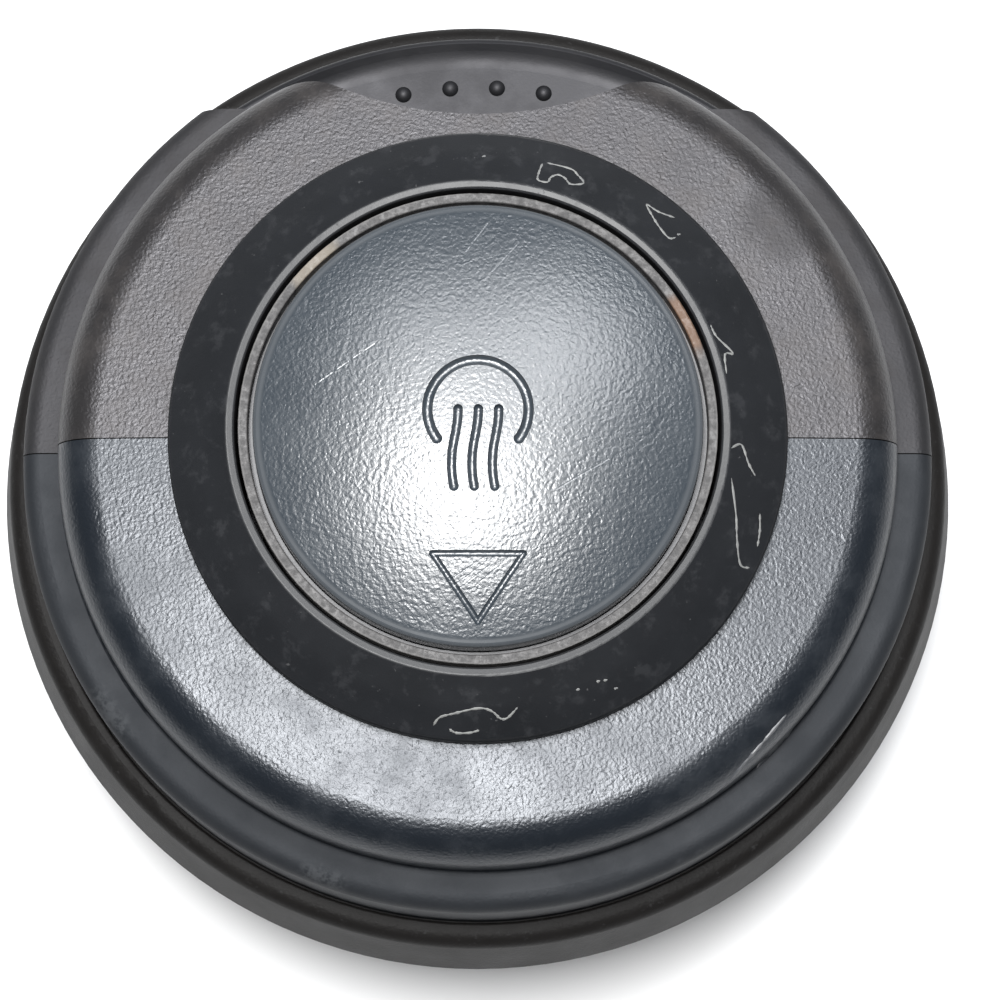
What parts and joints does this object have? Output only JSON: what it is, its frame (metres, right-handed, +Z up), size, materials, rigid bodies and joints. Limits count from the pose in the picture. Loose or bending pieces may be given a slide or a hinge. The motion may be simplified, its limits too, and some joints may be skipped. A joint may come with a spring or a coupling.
{
  "type": "push-button jug lid",
  "caption": "Round stepped pour-through lid of an insulated jug: domed press button, sprung stem valve, thumb lip, threaded stopper.",
  "frame": {"origin": "on the axis of the lid, on the underside of its stopper", "axes": "+Z up along the axis, out through the button; -Y the pouring side, where the triangle points; +Y the handle side, with the thumb lip"},
  "size_m": [0.088, 0.088, 0.0609],
  "materials": {
    "flange_black": "satin moulded black, duller than the shells",
    "shell_front": "leather-grained moulded black",
    "shell_rear": "leather-grained moulded black",
    "bezel_black": "smooth satin black",
    "button_face": "fine pebble texture, semi-gloss blue-black",
    "guide_grey": "light grey, dusty",
    "inner_plastic": "plain moulded",
    "stopper_plastic": "plain moulded",
    "seal_silicone": "soft grey silicone",
    "seal_black": "black rubber",
    "foam": "expanded foam",
    "spring_steel": "stainless wire",
    "screw_steel": "stainless"
  },
  "bodies": {
    "lid_body": {"base_ring": "flange_black", "rim_gasket": "seal_silicone", "front_shell": "shell_front", "rear_shell": "shell_rear", "insulation_ring": "foam", "bezel_ring": "bezel_black", "bezel_o_ring": "seal_black", "guide_sleeve": "inner_plastic", "button_guide_ring": "guide_grey", "partition_seal": "seal_black", "stem_seal": "seal_black", "seal_retainer": "inner_plastic", "stopper_body": "stopper_plastic", "valve_seat": "stopper_plastic", "neck_seal": "seal_silicone", "shell_screws": "screw_steel", "sleeve_screws": "screw_steel", "return_spring": "spring_steel"},
    "button_group": {"button_cap": "button_face", "button_carrier": "inner_plastic", "stem": "inner_plastic", "stem_screw": "screw_steel", "valve_plate": "inner_plastic", "valve_gasket": "seal_silicone", "valve_nut": "inner_plastic"}
  },
  "joints": [
    {"name": "button_press", "type": "slide", "parent": "lid_body", "child": "button_group", "axis": [0, 0, -1], "range_m": [0, 0.005], "stiffness_N_per_m": 900, "springref_m": -0.005, "deforming": ["return_spring"]}
  ]
}
